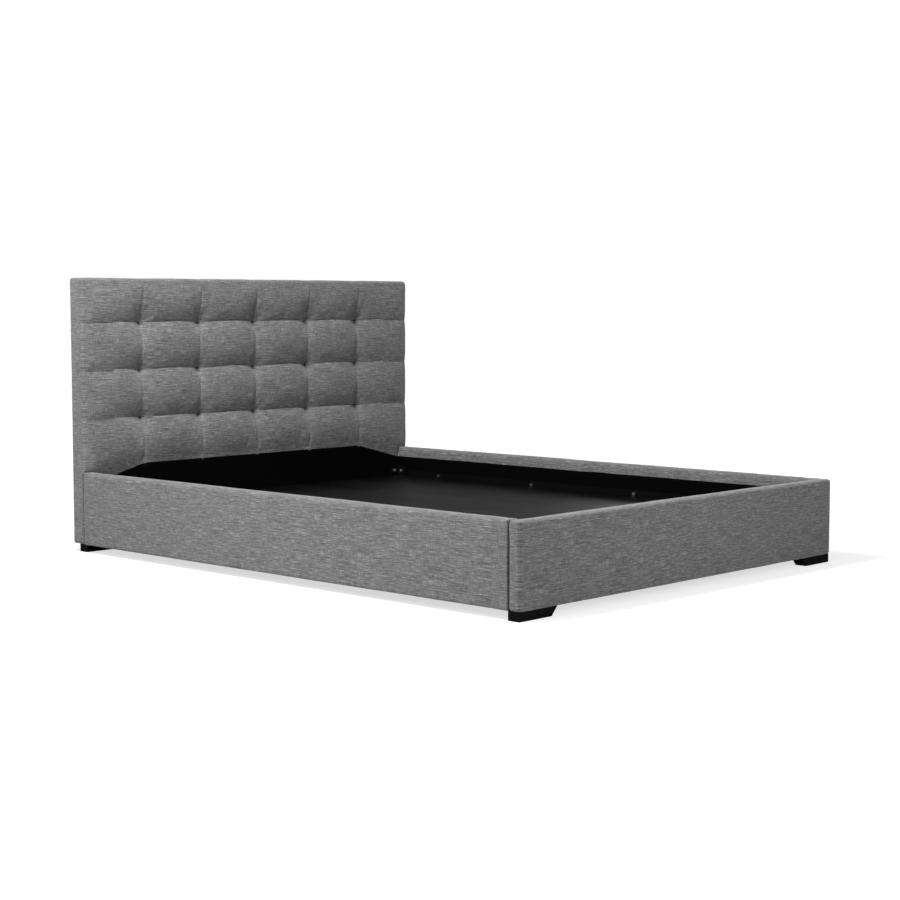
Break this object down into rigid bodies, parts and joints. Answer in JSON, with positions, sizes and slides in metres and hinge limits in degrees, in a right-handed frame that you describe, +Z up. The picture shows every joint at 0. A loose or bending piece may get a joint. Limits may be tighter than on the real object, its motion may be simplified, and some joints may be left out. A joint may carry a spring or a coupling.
{
  "type": "upholstered headboard bed",
  "caption": "Low upholstered platform bed: tufted headboard, padded side and foot rails, recessed flat deck for a queen mattress, bracket feet and levelling glides under a centre beam.",
  "frame": {"origin": "on the floor, under the middle of the bed's overall box", "axes": "+Z up, +Y from the foot of the bed to its head, +X to the right of someone who stands at the foot and faces the headboard"},
  "size_m": [1.65, 2.156, 0.99],
  "materials": {
    "cover_fabric": "grey melange linen-look weave",
    "tuft_button": "grey melange linen-look weave",
    "black_lining": "black spunbond lining",
    "deck_cloth": "black deck cloth with a soft sheen",
    "padding": "polyurethane foam",
    "twine": "waxed tufting twine with a disc",
    "timber": "planed softwood",
    "board": "raw board",
    "foot_wood": "black satin lacquer",
    "black_steel": "black powder coat",
    "bright_steel": "zinc plated",
    "leg_plastic": "black moulded plastic",
    "glide": "dark grey moulded plastic on a steel stud"
  },
  "bodies": {
    "bed": {"headboard_panel": "board", "headboard_stile_left": "timber", "headboard_stile_right": "timber", "headboard_top_rail": "timber", "headboard_middle_rail": "timber", "headboard_bottom_rail": "timber", "headboard_block_left": "timber", "headboard_block_middle": "timber", "headboard_block_right": "timber", "headboard_padding": "padding", "headboard_cover": "cover_fabric", "headboard_lining": "black_lining", "headboard_back_cover": "cover_fabric", "tuft_buttons": "tuft_button", "tuft_ties": "twine", "side_rail_board_left": "board", "side_rail_board_right": "board", "side_rail_padding_left": "padding", "side_rail_padding_right": "padding", "side_rail_cover_left": "cover_fabric", "side_rail_cover_right": "cover_fabric", "side_rail_lining_left": "black_lining", "side_rail_lining_right": "black_lining", "foot_rail_board": "board", "foot_rail_padding": "padding", "foot_rail_cover": "cover_fabric", "foot_rail_lining": "black_lining", "front_foot_left": "foot_wood", "front_foot_right": "foot_wood", "head_foot_left": "foot_wood", "head_foot_right": "foot_wood", "foot_screws": "bright_steel", "corner_bracket_front_left": "black_steel", "corner_bracket_front_right": "black_steel", "corner_bracket_head_left": "black_steel", "corner_bracket_head_right": "black_steel", "corner_bolts": "bright_steel", "ledger_left": "black_steel", "ledger_right": "black_steel", "ledger_bolts": "bright_steel", "deck_panel_foot": "board", "deck_panel_middle": "board", "deck_panel_head": "board", "deck_cloth": "deck_cloth", "joist_1": "timber", "joist_2": "timber", "joist_3": "timber", "joist_4": "timber", "centre_beam": "timber", "beam_hanger_foot": "black_steel", "beam_hanger_head": "black_steel", "beam_screws": "bright_steel", "centre_leg_foot": "leg_plastic", "centre_leg_middle": "leg_plastic", "centre_leg_head": "leg_plastic", "centre_leg_screws": "bright_steel"},
    "glide_foot": {"levelling_glide_foot": "glide"},
    "glide_middle": {"levelling_glide_middle": "glide"},
    "glide_head": {"levelling_glide_head": "glide"}
  },
  "joints": [
    {"name": "glide_foot_screw", "type": "slide", "parent": "bed", "child": "glide_foot", "axis": [0, 0, -1], "range_m": [0, 0.012]},
    {"name": "glide_middle_screw", "type": "slide", "parent": "bed", "child": "glide_middle", "axis": [0, 0, -1], "range_m": [0, 0.012]},
    {"name": "glide_head_screw", "type": "slide", "parent": "bed", "child": "glide_head", "axis": [0, 0, -1], "range_m": [0, 0.012]}
  ]
}
